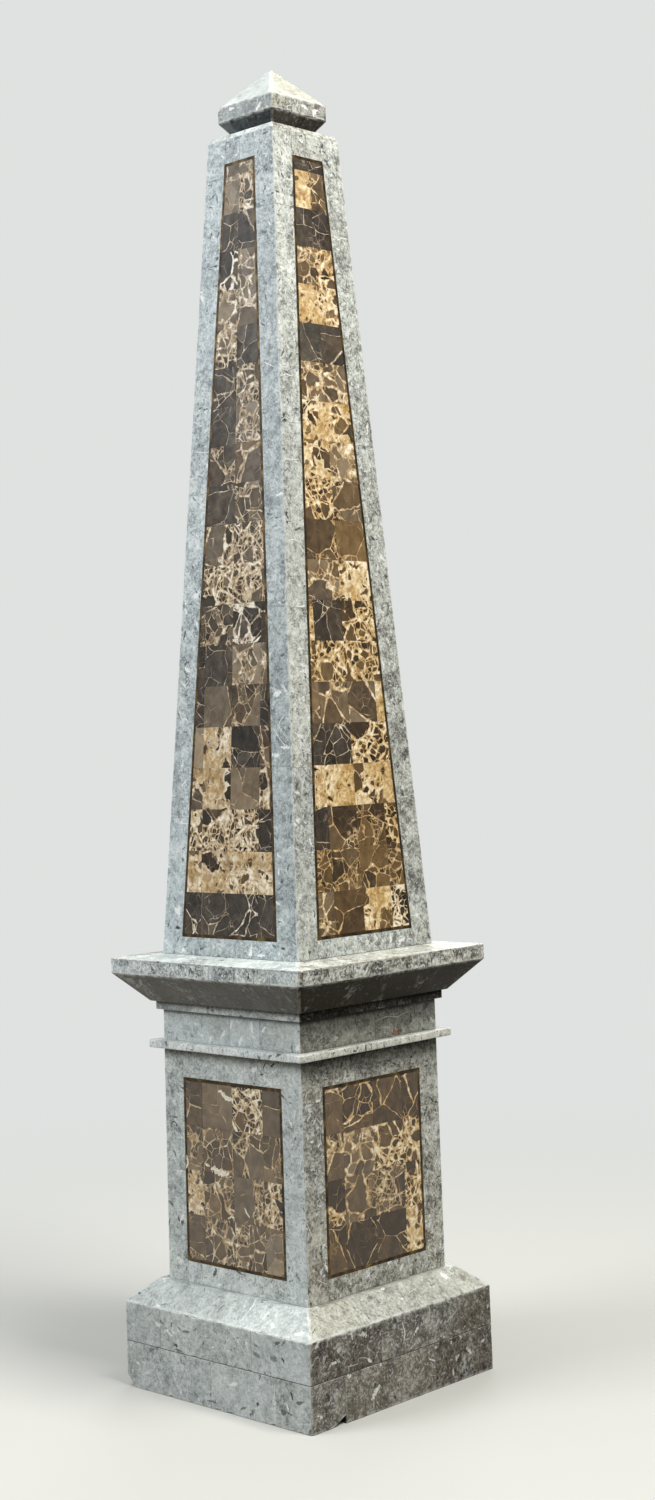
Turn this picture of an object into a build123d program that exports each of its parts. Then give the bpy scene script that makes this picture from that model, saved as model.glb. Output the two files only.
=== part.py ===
"""Tabletop obelisk: a square plinth, panelled dado, cornice, tapering panelled shaft and cap.

Stone facings are laid over timber cores. Millimetres, +Z up. The origin is at the centre of the
underside of the plinth. The front faces -Y and the right side faces +X.
"""

import os
from dataclasses import dataclass

from build123d import *

# ---- driving dimensions -------------------------------------------------------------------

facing = 8.0  # thickness of every stone facing over its core
joint = 0.4  # hairline joint between the strips of one frame

# plinth: two courses of stone with a bevelled top
plinth_width = 237.0
plinth_corner_radius = 3.0
lower_course_height = 39.5
upper_course_height = 33.5
course_joint = 0.6
bevel_height = 18.5
bevel_top_width = 192.0

# chip broken out of the plinth's front left foot, measured along its three edges
foot_chip_run = 13.5
foot_chip_height = 12.5
# chip broken out of the lower edge of the plinth's right face
edge_chip_start = 26.5  # from the front corner
edge_chip_length = 16.0
edge_chip_height = 7.0
edge_chip_depth = 5.0

# dado: the panelled block that stands on the plinth
dado_width = 177.4
dado_height = 204.5
dado_bottom_rail = 18.2
dado_top_rail = 25.4

# frames, inlaid panels and the metal stringing between them
stile_width = 25.4
stringing_width = 2.8

# belt moulding, frieze and fillet under the cornice
belt_width = 199.0
belt_height = 6.6
belt_corner_radius = 4.0
belt_edge_radius = 1.2
frieze_height = 27.4
fillet_width = 187.0
fillet_height = 8.0

# cornice: sloping soffit, upright band and a top that falls a little to its edge
soffit_foot_width = 198.0
soffit_height = 26.0
cornice_width = 247.4
cornice_corner_radius = 6.0
cornice_band_height = 12.0
cornice_top_edge = 1.4
cornice_top_rise = 2.6

# shaft: tapers from foot to top
shaft_foot_width = 176.4
shaft_top_width = 89.2
shaft_height = 766.0
shaft_bottom_rail = 16.0
shaft_top_rail = 24.0

# slab that closes the shaft
closing_slab_top_width = 85.4
closing_slab_height = 5.0

# cap: sloping soffit, upright band and low pyramid
cap_foot_width = 53.0
cap_soffit_height = 16.0
cap_width = 77.0
cap_corner_radius = 5.0
cap_band_height = 15.0
cap_pyramid_height = 37.2
cap_tip_width = 3.0
cap_tip_radius = 1.0

# ---- levels, from the floor up ------------------------------------------------------------

plinth_top = lower_course_height + upper_course_height
dado_foot = plinth_top + bevel_height
dado_top = dado_foot + dado_height
frieze_foot = dado_top + belt_height
fillet_foot = frieze_foot + frieze_height
soffit_foot = fillet_foot + fillet_height
band_foot = soffit_foot + soffit_height
cornice_top_foot = band_foot + cornice_band_height
cornice_slope_foot = cornice_top_foot + cornice_top_edge
shaft_foot = cornice_slope_foot + cornice_top_rise
shaft_top = shaft_foot + shaft_height
cap_foot = shaft_top + closing_slab_height
cap_band_foot = cap_foot + cap_soffit_height
pyramid_foot = cap_band_foot + cap_band_height

# each side's outward direction and the direction to its right, seen from outside
SIDES = {
    "front": (Vector(0, -1, 0), Vector(1, 0, 0)),
    "right": (Vector(1, 0, 0), Vector(0, 1, 0)),
    "back": (Vector(0, 1, 0), Vector(-1, 0, 0)),
    "left": (Vector(-1, 0, 0), Vector(0, -1, 0)),
}

os.makedirs("parts", exist_ok=True)


def save(piece, name):
    """Label a finished piece and write it as the node of that name."""
    piece.part.label = name
    export_step(piece.part, f"parts/{name}.step")


def elevation(side):
    """Upright plane through the centre line: X runs to the side's right, Y up, Z outward."""
    outward, rightward = SIDES[side]
    return Plane(origin=(0, 0, 0), x_dir=rightward, z_dir=outward)


def mitre_planes(side):
    """Diagonal planes through the centre line, with the side's own quarter on their Z side."""
    outward, rightward = SIDES[side]
    return [Plane(origin=(0, 0, 0), z_dir=outward + rightward), Plane(origin=(0, 0, 0), z_dir=outward - rightward)]


def keep_quarter(side):
    """Trim the part being built to one side's quarter, which mitres its corners."""
    for plane in mitre_planes(side):
        split(bisect_by=plane, keep=Keep.TOP)


# ---- plinth -------------------------------------------------------------------------------

plinth_core_width = plinth_width - 2 * facing
dado_core_width = dado_width - 2 * facing

with BuildPart() as plinth_core:
    with BuildSketch():
        Rectangle(plinth_core_width, plinth_core_width)
    extrude(amount=plinth_top)
    with BuildSketch(Plane.XY.offset(plinth_top)):
        Rectangle(dado_core_width, dado_core_width)
    extrude(amount=bevel_height)
save(plinth_core, "plinth_core")

plinth_half = plinth_width / 2
foot_chip_plane = Plane(
    origin=(-plinth_half, -plinth_half, foot_chip_height),
    z_dir=Vector(1 / foot_chip_run, 1 / foot_chip_run, 1 / foot_chip_height),
)

for side in SIDES:
    with BuildPart() as plinth_side:
        with BuildSketch():
            RectangleRounded(plinth_width, plinth_width, plinth_corner_radius)
            Rectangle(plinth_core_width, plinth_core_width, mode=Mode.SUBTRACT)
        extrude(amount=lower_course_height - course_joint)
        with BuildSketch(Plane.XY.offset(lower_course_height)):
            RectangleRounded(plinth_width, plinth_width, plinth_corner_radius)
            Rectangle(plinth_core_width, plinth_core_width, mode=Mode.SUBTRACT)
        extrude(amount=upper_course_height)
        keep_quarter(side)
        if side in ("front", "left"):
            split(bisect_by=foot_chip_plane, keep=Keep.TOP)
        if side == "right":
            chip_start = edge_chip_start - plinth_half
            chip_end = chip_start + edge_chip_length
            with BuildSketch(elevation(side).offset(plinth_half - edge_chip_depth)):
                Polygon((chip_start, 0), (chip_end, 0), (chip_end, edge_chip_height), align=None)
            extrude(amount=edge_chip_depth, mode=Mode.SUBTRACT)
    save(plinth_side, f"plinth_{side}")

for side in SIDES:
    with BuildPart() as plinth_bevel:
        with BuildSketch(Plane.XY.offset(plinth_top)):
            RectangleRounded(plinth_width, plinth_width, plinth_corner_radius)
        with BuildSketch(Plane.XY.offset(dado_foot)):
            RectangleRounded(bevel_top_width, bevel_top_width, plinth_corner_radius)
        loft(ruled=True)
        with BuildSketch(Plane.XY.offset(plinth_top)):
            Rectangle(dado_core_width, dado_core_width)
        extrude(amount=bevel_height, mode=Mode.SUBTRACT)
        keep_quarter(side)
    save(plinth_bevel, f"plinth_bevel_{side}")


# ---- panelled blocks: the dado and the shaft ----------------------------------------------


@dataclass
class Block:
    """A square block with four faced sides, each a frame round an inlaid panel."""

    foot: float
    top: float
    foot_width: float
    top_width: float
    bottom_rail: float
    top_rail: float

    def half_width(self, height):
        share = (height - self.foot) / (self.top - self.foot)
        return (self.foot_width + (self.top_width - self.foot_width) * share) / 2

    def outline(self, side_inset, bottom_inset, top_inset):
        """Corners of the side's elevation, drawn in from its edges, anticlockwise."""
        low = self.foot + bottom_inset
        high = self.top - top_inset
        low_half = self.half_width(low) - side_inset
        high_half = self.half_width(high) - side_inset
        return [(-low_half, low), (low_half, low), (high_half, high), (-high_half, high)]


def block_core(block):
    """The timber core, a facing's thickness inside the stone."""
    with BuildPart() as core:
        with BuildSketch(Plane.XY.offset(block.foot)):
            Rectangle(block.foot_width - 2 * facing, block.foot_width - 2 * facing)
        with BuildSketch(Plane.XY.offset(block.top)):
            Rectangle(block.top_width - 2 * facing, block.top_width - 2 * facing)
        loft(ruled=True)
    return core


def block_facing(block, side):
    """One side's whole facing, mitred at the corners, before it is divided."""
    with BuildPart() as slab:
        with BuildSketch(Plane.XY.offset(block.foot)):
            Rectangle(block.foot_width, block.foot_width)
        with BuildSketch(Plane.XY.offset(block.top)):
            Rectangle(block.top_width, block.top_width)
        loft(ruled=True)
        add(block_core(block).part, mode=Mode.SUBTRACT)
        keep_quarter(side)
    return slab.part


def panel_outline(block, inset=0.0):
    """The opening inside the frame, or an outline set further in by the inset."""
    return block.outline(stile_width + inset, block.bottom_rail + inset, block.top_rail + inset)


def block_frame(block, side):
    """Two stiles with a rail between them at the foot and at the top."""
    half_joint = joint / 2
    rails = block.outline(stile_width + half_joint, 0, 0)
    stile_edge = block.outline(stile_width - half_joint, 0, 0)
    with BuildPart() as frame:
        add(block_facing(block, side))
        with BuildSketch(elevation(side)):
            Polygon(*block.outline(0, 0, 0), align=None)
            Polygon(*stile_edge, align=None, mode=Mode.SUBTRACT)
            Polygon(*rails, align=None)
            Polygon(*panel_outline(block), align=None, mode=Mode.SUBTRACT)
        extrude(amount=block.foot_width, mode=Mode.INTERSECT)
    return frame


def block_stringing(block, side):
    """The metal strip set on edge between the frame and the inlaid panel."""
    with BuildPart() as stringing:
        add(block_facing(block, side))
        with BuildSketch(elevation(side)):
            Polygon(*panel_outline(block), align=None)
            Polygon(*panel_outline(block, stringing_width), align=None, mode=Mode.SUBTRACT)
        extrude(amount=block.foot_width, mode=Mode.INTERSECT)
    return stringing


def block_inlay(block, side):
    """The inlaid marble panel inside the stringing."""
    with BuildPart() as inlay:
        add(block_facing(block, side))
        with BuildSketch(elevation(side)):
            Polygon(*panel_outline(block, stringing_width), align=None)
        extrude(amount=block.foot_width, mode=Mode.INTERSECT)
    return inlay


BLOCKS = {
    "dado": Block(dado_foot, dado_top, dado_width, dado_width, dado_bottom_rail, dado_top_rail),
    "shaft": Block(
        shaft_foot, shaft_top, shaft_foot_width, shaft_top_width, shaft_bottom_rail, shaft_top_rail
    ),
}

for name, block in BLOCKS.items():
    save(block_core(block), f"{name}_core")
    for side in SIDES:
        save(block_frame(block, side), f"{name}_frame_{side}")
        save(block_stringing(block, side), f"{name}_stringing_{side}")
        save(block_inlay(block, side), f"{name}_inlay_{side}")

# ---- belt moulding, frieze and fillet -----------------------------------------------------

with BuildPart() as belt_moulding:
    with BuildSketch(Plane.XY.offset(dado_top)):
        RectangleRounded(belt_width, belt_width, belt_corner_radius)
    extrude(amount=belt_height)
    belt_faces = belt_moulding.faces().filter_by(Axis.Z)
    fillet(belt_faces.edges(), belt_edge_radius)
save(belt_moulding, "belt_moulding")

with BuildPart() as frieze:
    with BuildSketch(Plane.XY.offset(frieze_foot)):
        Rectangle(dado_width, dado_width)
    extrude(amount=frieze_height)
save(frieze, "frieze")

with BuildPart() as fillet_strip:
    with BuildSketch(Plane.XY.offset(fillet_foot)):
        Rectangle(fillet_width, fillet_width)
    extrude(amount=fillet_height)
save(fillet_strip, "fillet_strip")

# ---- cornice ------------------------------------------------------------------------------

with BuildPart() as cornice_soffit:
    with BuildSketch(Plane.XY.offset(soffit_foot)):
        RectangleRounded(soffit_foot_width, soffit_foot_width, cornice_corner_radius)
    with BuildSketch(Plane.XY.offset(band_foot)):
        RectangleRounded(cornice_width, cornice_width, cornice_corner_radius)
    loft(ruled=True)
save(cornice_soffit, "cornice_soffit")

with BuildPart() as cornice_band:
    with BuildSketch(Plane.XY.offset(band_foot)):
        RectangleRounded(cornice_width, cornice_width, cornice_corner_radius)
    extrude(amount=cornice_band_height)
save(cornice_band, "cornice_band")

with BuildPart() as cornice_top:
    with BuildSketch(Plane.XY.offset(cornice_top_foot)):
        RectangleRounded(cornice_width, cornice_width, cornice_corner_radius)
    extrude(amount=cornice_top_edge)
    with BuildSketch(Plane.XY.offset(cornice_slope_foot)):
        RectangleRounded(cornice_width, cornice_width, cornice_corner_radius)
    with BuildSketch(Plane.XY.offset(shaft_foot)):
        RectangleRounded(shaft_foot_width, shaft_foot_width, cornice_corner_radius)
    loft(ruled=True)
save(cornice_top, "cornice_top")

# ---- closing slab and cap -----------------------------------------------------------------

with BuildPart() as closing_slab:
    with BuildSketch(Plane.XY.offset(shaft_top)):
        Rectangle(shaft_top_width, shaft_top_width)
    with BuildSketch(Plane.XY.offset(cap_foot)):
        Rectangle(closing_slab_top_width, closing_slab_top_width)
    loft(ruled=True)
save(closing_slab, "closing_slab")

with BuildPart() as cap_soffit:
    with BuildSketch(Plane.XY.offset(cap_foot)):
        RectangleRounded(cap_foot_width, cap_foot_width, cap_corner_radius)
    with BuildSketch(Plane.XY.offset(cap_band_foot)):
        RectangleRounded(cap_width, cap_width, cap_corner_radius)
    loft(ruled=True)
save(cap_soffit, "cap_soffit")

with BuildPart() as cap_band:
    with BuildSketch(Plane.XY.offset(cap_band_foot)):
        RectangleRounded(cap_width, cap_width, cap_corner_radius)
    extrude(amount=cap_band_height)
save(cap_band, "cap_band")

with BuildPart() as cap_pyramid:
    with BuildSketch(Plane.XY.offset(pyramid_foot)):
        RectangleRounded(cap_width, cap_width, cap_corner_radius)
    with BuildSketch(Plane.XY.offset(pyramid_foot + cap_pyramid_height)):
        RectangleRounded(cap_tip_width, cap_tip_width, cap_tip_radius)
    loft(ruled=True)
save(cap_pyramid, "cap_pyramid")
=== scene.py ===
"""Dresses the tabletop obelisk: honed limestone facings, inlaid marble panels and brass stringing.

Sizes are in millimetres until a mesh is made. Each side is worked flat, as (across, up) from its
middle line and its foot, and then folded round the obelisk.
"""

import math
import random
from collections import namedtuple

import bmesh
import bpy
from mathutils import Matrix, Vector


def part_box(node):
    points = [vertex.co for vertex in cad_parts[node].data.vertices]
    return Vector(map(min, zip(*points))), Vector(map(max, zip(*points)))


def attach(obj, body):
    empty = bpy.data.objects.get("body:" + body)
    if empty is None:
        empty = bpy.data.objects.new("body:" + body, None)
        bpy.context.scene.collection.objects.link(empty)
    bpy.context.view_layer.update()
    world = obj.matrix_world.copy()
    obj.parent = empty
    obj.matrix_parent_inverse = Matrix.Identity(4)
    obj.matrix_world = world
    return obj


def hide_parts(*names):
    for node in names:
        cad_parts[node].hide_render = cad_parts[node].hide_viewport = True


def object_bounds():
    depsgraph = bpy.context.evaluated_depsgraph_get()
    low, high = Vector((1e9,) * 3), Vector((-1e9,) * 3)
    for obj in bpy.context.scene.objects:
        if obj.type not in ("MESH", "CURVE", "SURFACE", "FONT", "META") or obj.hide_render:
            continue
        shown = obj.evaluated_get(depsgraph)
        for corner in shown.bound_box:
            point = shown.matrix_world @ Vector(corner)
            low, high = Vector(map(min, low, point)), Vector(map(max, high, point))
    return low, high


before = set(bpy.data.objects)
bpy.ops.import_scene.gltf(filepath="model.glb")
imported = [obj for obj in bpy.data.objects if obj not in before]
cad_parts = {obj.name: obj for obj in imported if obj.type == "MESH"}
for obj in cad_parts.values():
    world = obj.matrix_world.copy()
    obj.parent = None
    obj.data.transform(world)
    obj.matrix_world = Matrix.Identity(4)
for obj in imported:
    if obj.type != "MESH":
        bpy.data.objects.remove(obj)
cad_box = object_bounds()

# ---- plinth -------------------------------------------------------------------------------
# Two courses of grey fossil limestone stand round the timber core, bedded in mortar, with a
# sloping weathering of the same stone on top. The blocks are sawn, honed and butted close; the
# course joint has crumbled, and the feet are knocked about.

TO_METRES = 0.001

# each side's outward direction and the direction to its right, seen from outside
SIDES = {
    "front": (Vector((0, -1, 0)), Vector((1, 0, 0))),
    "right": (Vector((1, 0, 0)), Vector((0, 1, 0))),
    "back": (Vector((0, 1, 0)), Vector((-1, 0, 0))),
    "left": (Vector((-1, 0, 0)), Vector((0, -1, 0))),
}
# the hidden back repeats the front, and the hidden left side repeats the right
LIKE = {"front": "front", "right": "right", "back": "front", "left": "right"}

# how the edge of a stone is finished: gap to its neighbour, chamfer, largest chip, share of the
# edge that is chipped, and width of the rubbed, paler band
Lip = namedtuple("Lip", "gap chamfer largest_chip chipped rubbed")
LIPS = {
    "joint": Lip(0.06, 0.14, 0.5, 0.05, 0.0),
    "course": Lip(0.32, 0.10, 1.1, 0.20, 0.0),
    "arris": Lip(0.0, 0.45, 1.5, 0.12, 2.2),
    "mitre": Lip(0.0, 0.12, 1.0, 0.08, 1.7),
    "tile": Lip(0.04, 0.07, 0.3, 0.02, 0.0),
}
CHIP_STEP = 4.0  # spacing of the points along an edge
UNEVEN = 0.08  # how far a sound edge wanders
CHIP_SLOPE = 0.8  # a chip's height over its depth
CORNER_STEPS = 3  # facets in half of a rounded corner
SHARP_ANGLE = math.radians(28)
SAME_PLACE = 0.02  # corners closer than this are one corner
ON_THE_CUT = 0.001  # a corner this close to a cut lies on it
THICKNESS = 1.6  # of a facing stone as modelled
BED_DEPTH, BED_THICKNESS = 0.8, 1.2
BLOCK_REACH = 400.0  # how far apart in the quarried block two stones may lie
HIDDEN_CORNER = 0.2  # corner radius of an edge that is tucked out of sight
TUCK = 1.0  # how far such an edge runs on into the course behind it
PLAIN = (0.5, 0.5, 0.5, 0.5)  # the slab of a piece that doesn't use one


def box_mm(node):
    """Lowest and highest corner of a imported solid, in millimetres."""
    low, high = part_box(node)
    return low / TO_METRES, high / TO_METRES


def put_in(name, data):
    """A new object in the scene."""
    made = bpy.data.objects.new(name, data)
    bpy.context.scene.collection.objects.link(made)
    return made


def four(name):
    """The names of a part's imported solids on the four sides."""
    return [f"{name}_{side}" for side in SIDES]


class Course:
    """A band of stone round the obelisk, as (half width, height, corner radius) points from its foot."""

    def __init__(self, *profile):
        self.profile = profile
        self.levels = [0.0]
        for low, high in zip(profile, profile[1:]):
            self.levels.append(self.levels[-1] + math.dist(low[:2], high[:2]))
        self.foot_half = profile[0][0]
        self.taper = Vector((profile[-1][0] - self.foot_half, self.levels[-1])).normalized()

    def at(self, up):
        """Half width, height, corner radius, and the profile's direction, at a distance up it."""
        k = 0
        while k < len(self.profile) - 2 and up > self.levels[k + 1]:
            k += 1
        low, high = self.profile[k], self.profile[k + 1]
        run = self.levels[k + 1] - self.levels[k]
        share = (up - self.levels[k]) / run
        half, height, radius = (a + (b - a) * share for a, b in zip(low, high))
        return half, height, radius, ((high[0] - low[0]) / run, (high[1] - low[1]) / run)

    def up_at(self, height):
        """Distance up a straight profile at which it reaches a height."""
        low, high = self.profile[0][1], self.profile[-1][1]
        return self.levels[-1] * (height - low) / (high - low)

    def reach(self, up):
        """Distance from a side's middle line to its mitre, measured round the corner."""
        half, _, radius, _ = self.at(up)
        return half - radius + radius * math.pi / 4

    def outline(self, foot, top):
        """The whole side, worked flat, as (corner, lip of the edge that starts there)."""
        right = [Vector((self.reach(up), up)) for up in self.levels]
        left = [Vector((-corner.x, corner.y)) for corner in reversed(right)]
        edges = [[corner, "mitre"] for corner in right + left]
        edges[len(right) - 1][1] = top
        edges[-1][1] = foot
        return edges

    def within(self, outline, margin, lip):
        """The part of a straight side's outline that keeps a margin from both mitres."""
        for hand in (1, -1):
            inner = Vector((hand * (self.foot_half - margin), 0))
            outline = cut(outline, inner, Vector((-self.taper.y, hand * self.taper.x)) * hand, lip)
        return outline

    def folds(self, reached):
        """Lines along which flat work is scored before it is folded: (origin, direction)."""
        found = [(Vector((0, up)), Vector((1, 0))) for up in self.levels[1:-1]]
        for k in range(len(self.profile) - 1):
            for step in range(CORNER_STEPS):
                turn = math.pi / 4 * step / CORNER_STEPS
                ends = [
                    Vector((half - radius + radius * turn, up))
                    for (half, _, radius), up in zip(self.profile[k : k + 2], self.levels[k : k + 2])
                ]
                if min(ends[0].x, ends[1].x) > reached:
                    continue
                for hand in (-1, 1):
                    start, end = (Vector((hand * p.x, p.y)) for p in ends)
                    found.append((start, (end - start).normalized()))
        return found

    def fold(self, side, across, up, depth):
        """Where a point of the flat work lies on the obelisk, at a depth under the face."""
        half, height, radius, (out_run, up_run) = self.at(up)
        inner_half = half - depth * up_run
        inner_radius = max(radius - depth * up_run, 0.0)
        straight = inner_half - inner_radius
        outward, rightward = SIDES[side]
        bent = abs(across) - (half - radius)
        if bent > 0:
            turn = min(bent / radius, math.pi / 4)
            out = straight + inner_radius * math.cos(turn)
            aside = math.copysign(straight + inner_radius * math.sin(turn), across)
        else:
            out = inner_half
            aside = max(-straight, min(straight, across))
        return outward * out + rightward * aside + Vector((0, 0, height + depth * out_run))


def cut(outline, origin, inward, lip):
    """The part of a convex outline on the inward side of a line, whose new edge gets a lip."""
    kept = []
    for (start, edge), (end, _) in zip(outline, outline[1:] + outline[:1]):
        a, b = (start - origin).dot(inward), (end - origin).dot(inward)
        if a >= 0:
            kept.append((start, edge))
        if (a >= 0) != (b >= 0):
            kept.append((start.lerp(end, a / (a - b)), lip if a >= 0 else edge))
    pairs = zip(kept, kept[1:] + kept[:1])
    return [pair for pair, after in pairs if (pair[0] - after[0]).length > SAME_PLACE]


def crop(outline, lip, left=None, right=None, low=None, high=None):
    """The part of an outline between upright and level lines, whose new edges get a lip."""
    for place, axis, way in ((left, (1, 0), 1), (right, (1, 0), -1), (low, (0, 1), 1), (high, (0, 1), -1)):
        if place is not None:
            outline = cut(outline, Vector(axis) * place, Vector(axis) * way, lip)
    return outline


def split(outline, joints, lip="joint"):
    """A course's outline cut at upright joints, as a list of outlines from left to right."""
    bounds = [None, *sorted(joints), None]
    stones = [crop(outline, lip, left, right) for left, right in zip(bounds, bounds[1:])]
    return [stone for stone in stones if len(stone) > 2]


def inset(corners, distances):
    """Corners of a convex outline drawn in from each edge by that edge's own distance."""
    lines = []
    for start, end, distance in zip(corners, corners[1:] + corners[:1], distances):
        along = (end - start).normalized()
        lines.append((start + Vector((-along.y, along.x)) * distance, along))
    drawn = []
    for (before, along), (after, next_along) in zip(lines[-1:] + lines[:-1], lines):
        share = (after - before).cross(next_along) / along.cross(next_along)
        drawn.append(before + along * share)
    return drawn


class Facing:
    """The stones of one piece, gathered into one mesh with a slab, a shift and wear for each point."""

    def __init__(self, seed):
        self.draw = random.Random(seed)
        self.points, self.faces, self.slots = [], [], []
        self.slabs, self.shifts, self.wear = [], [], []

    def fold_in(self, course, side, flat, faces, wear, slab, slot):
        """Score flat points (across, up, depth) at the folds, fold them and add them to the mesh."""
        reached = max(abs(point.x) for point in flat)
        low = min(point.y for point in flat)
        high = max(point.y for point in flat)
        work = bmesh.new()
        layer = work.verts.layers.float.new("wear")
        made = [work.verts.new((point.x, point.y, -point.z)) for point in flat]
        for vert, worn in zip(made, wear):
            vert[layer] = worn
        for face in faces:
            work.faces.new([made[k] for k in face])
        for origin, along in course.folds(reached):
            if along.x == 1 and not low < origin.y < high:
                continue
            bmesh.ops.bisect_plane(
                work,
                geom=work.verts[:] + work.edges[:] + work.faces[:],
                dist=ON_THE_CUT,
                plane_co=(origin.x, origin.y, 0),
                plane_no=(along.y, -along.x, 0),
            )
        work.verts.index_update()
        first = len(self.points)
        shift = [self.draw.uniform(-BLOCK_REACH, BLOCK_REACH) for _ in range(3)]
        for vert in work.verts:
            self.points.append(course.fold(side, vert.co.x, vert.co.y, -vert.co.z) * TO_METRES)
            self.wear.append(vert[layer])
            self.slabs.extend(slab)
            self.shifts.extend(shift)
        for face in work.faces:
            self.faces.append([first + vert.index for vert in face.verts])
            self.slots.append(slot)
        work.free()

    def lay(self, course, side, outline, slab, thickness=THICKNESS):
        """One stone: a closed slab with chamfered, chipped and rubbed edges."""
        corners = [corner for corner, _ in outline]
        lips = [LIPS[lip] for _, lip in outline]
        gaps = [lip.gap for lip in lips]
        rims = [lip.gap + lip.chamfer for lip in lips]
        rubs = [lip.gap + lip.chamfer + lip.rubbed for lip in lips]
        rings = [inset(corners, distances) for distances in (gaps, rims, rubs)]
        flat, wear, inwards, depths = [[], [], []], [], [], []
        for k, lip in enumerate(lips):
            after = (k + 1) % len(corners)
            along = (corners[after] - corners[k]).normalized()
            inward = Vector((-along.y, along.x))
            steps = max(1, round((corners[after] - corners[k]).length / CHIP_STEP))
            for step in range(steps):
                chip = self.draw.uniform(0, UNEVEN)
                if self.draw.random() < lip.chipped:
                    chip += lip.largest_chip * self.draw.random() ** 2
                for ring, found in zip(rings, flat):
                    found.append(ring[k].lerp(ring[after], step / steps))
                inwards.append(inward * chip)
                depths.append(lip.chamfer + chip * CHIP_SLOPE)
        count = len(depths)
        points = [Vector((*p, thickness)) for p in flat[0]]
        points += [Vector((*p, depth)) for p, depth in zip(flat[0], depths)]
        for ring in flat[1:]:
            points += [Vector((*(p + chip), 0)) for p, chip in zip(ring, inwards)]
        wear = [worn for worn in (0.4, 1.0, 1.0, 0.0) for _ in range(count)]
        faces = [list(reversed(range(count))), list(range(3 * count, 4 * count))]
        for ring in range(3):
            for k in range(count):
                after = (k + 1) % count
                base = ring * count
                faces.append([base + k, base + after, base + count + after, base + count + k])
        self.fold_in(course, side, points, faces, wear, slab, 0)

    def lay_run(self, course, side, outline, joints, tone, thickness=THICKNESS, warmer=0.0, busy=1.0):
        """Lay a run of stones of about one tone, with joints at these distances from the middle."""
        for stone in split(outline, joints):
            self.lay(course, side, stone, slab_for(side, self, tone, warmer, busy), thickness)

    def bed(self, course, side, low=0.0):
        """The mortar that the stones of one side are bedded on, seen only at the joints."""
        corners = [corner for corner, _ in crop(course.outline("joint", "joint"), "joint", low=low)]
        count = len(corners)
        points = [Vector((*corner, BED_DEPTH + BED_THICKNESS)) for corner in corners]
        points += [Vector((*corner, BED_DEPTH)) for corner in corners]
        faces = [list(reversed(range(count))), list(range(count, 2 * count))]
        for k in range(count):
            after = (k + 1) % count
            faces.append([k, after, count + after, count + k])
        self.fold_in(course, side, points, faces, [0.0] * len(points), PLAIN, 1)

    def build(self, name, materials, nodes):
        """Make the object, mark its sharp edges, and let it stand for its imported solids."""
        mesh = bpy.data.meshes.new(name)
        mesh.from_pydata(self.points, [], self.faces)
        mesh.attributes.new("slab", "FLOAT_COLOR", "POINT").data.foreach_set("color", self.slabs)
        mesh.attributes.new("shift", "FLOAT_VECTOR", "POINT").data.foreach_set("vector", self.shifts)
        mesh.attributes.new("wear", "FLOAT", "POINT").data.foreach_set("value", self.wear)
        for material in materials:
            mesh.materials.append(material)
        mesh.polygons.foreach_set("material_index", self.slots)
        mesh.polygons.foreach_set("use_smooth", [True] * len(self.faces))
        work = bmesh.new()
        work.from_mesh(mesh)
        for edge in work.edges:
            edge.smooth = len(edge.link_faces) == 2 and edge.calc_face_angle() < SHARP_ANGLE
        work.to_mesh(mesh)
        work.free()
        piece = put_in(name, mesh)
        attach(piece, "root")
        if nodes:
            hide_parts(*nodes)
        return piece


def linear(hex_colour):
    """An sRGB hex colour as the linear values that a shader takes."""
    parts = [int(hex_colour[k : k + 2], 16) / 255 for k in (1, 3, 5)]
    return [p / 12.92 if p <= 0.04045 else ((p + 0.055) / 1.055) ** 2.4 for p in parts] + [1.0]


def add(tree, kind, inputs=None, stops=None, **settings):
    """Add a node with its settings; its inputs are values, or outputs to link from."""
    node = tree.nodes.new("ShaderNode" + kind)
    for name, value in settings.items():
        setattr(node, name, value)
    for name, value in (inputs or {}).items():
        if isinstance(value, bpy.types.NodeSocket):
            tree.links.new(value, node.inputs[name])
        else:
            node.inputs[name].default_value = value
    if stops:
        elements = node.color_ramp.elements
        while len(elements) < len(stops):
            elements.new(1.0)
        for element, (place, colour) in zip(elements, stops):
            element.position = place
            element.color = linear(colour)
    return node


def tree_of(*values):
    """The node tree that the outputs among these values belong to."""
    return next(value.id_data for value in values if isinstance(value, bpy.types.NodeSocket))


def reckon(operation, *values, **settings):
    """One number worked out from others by a math node."""
    return add(tree_of(*values), "Math", dict(enumerate(values)), operation=operation, **settings).outputs[0]


def product(value, factor):
    return reckon("MULTIPLY", value, factor)


def less(value, taken):
    return reckon("SUBTRACT", value, taken)


def sum_of(value, factor, more):
    """A value times a factor, plus something more."""
    return reckon("MULTIPLY_ADD", value, factor, more)


def vector(operation, *values, **inputs):
    """A vector worked out from others, or a vector's length."""
    inputs = {**dict(enumerate(values)), **inputs}
    outputs = add(tree_of(*values), "VectorMath", inputs, operation=operation).outputs
    return outputs["Value" if operation == "LENGTH" else "Vector"]


def between(value, low, high, to_low=0.0, to_high=1.0):
    """A value's place between two limits, as a number from to_low to to_high."""
    limits = {"Value": value, "From Min": low, "From Max": high, "To Min": to_low, "To Max": to_high}
    return add(tree_of(value), "MapRange", limits).outputs[0]


def ramp(level, *stops):
    """A colour from (level, hex colour) stops."""
    return add(tree_of(level), "ValToRGB", {0: level}, stops=stops).outputs[0]


def mix(share, under, over):
    """A share of one colour over another. The upper one may be a hex colour."""
    over = linear(over) if isinstance(over, str) else over
    return add(tree_of(share), "Mix", {0: share, 6: under, 7: over}, data_type="RGBA").outputs[2]


def channels(colour):
    return add(tree_of(colour), "SeparateColor", {0: colour}).outputs


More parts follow.
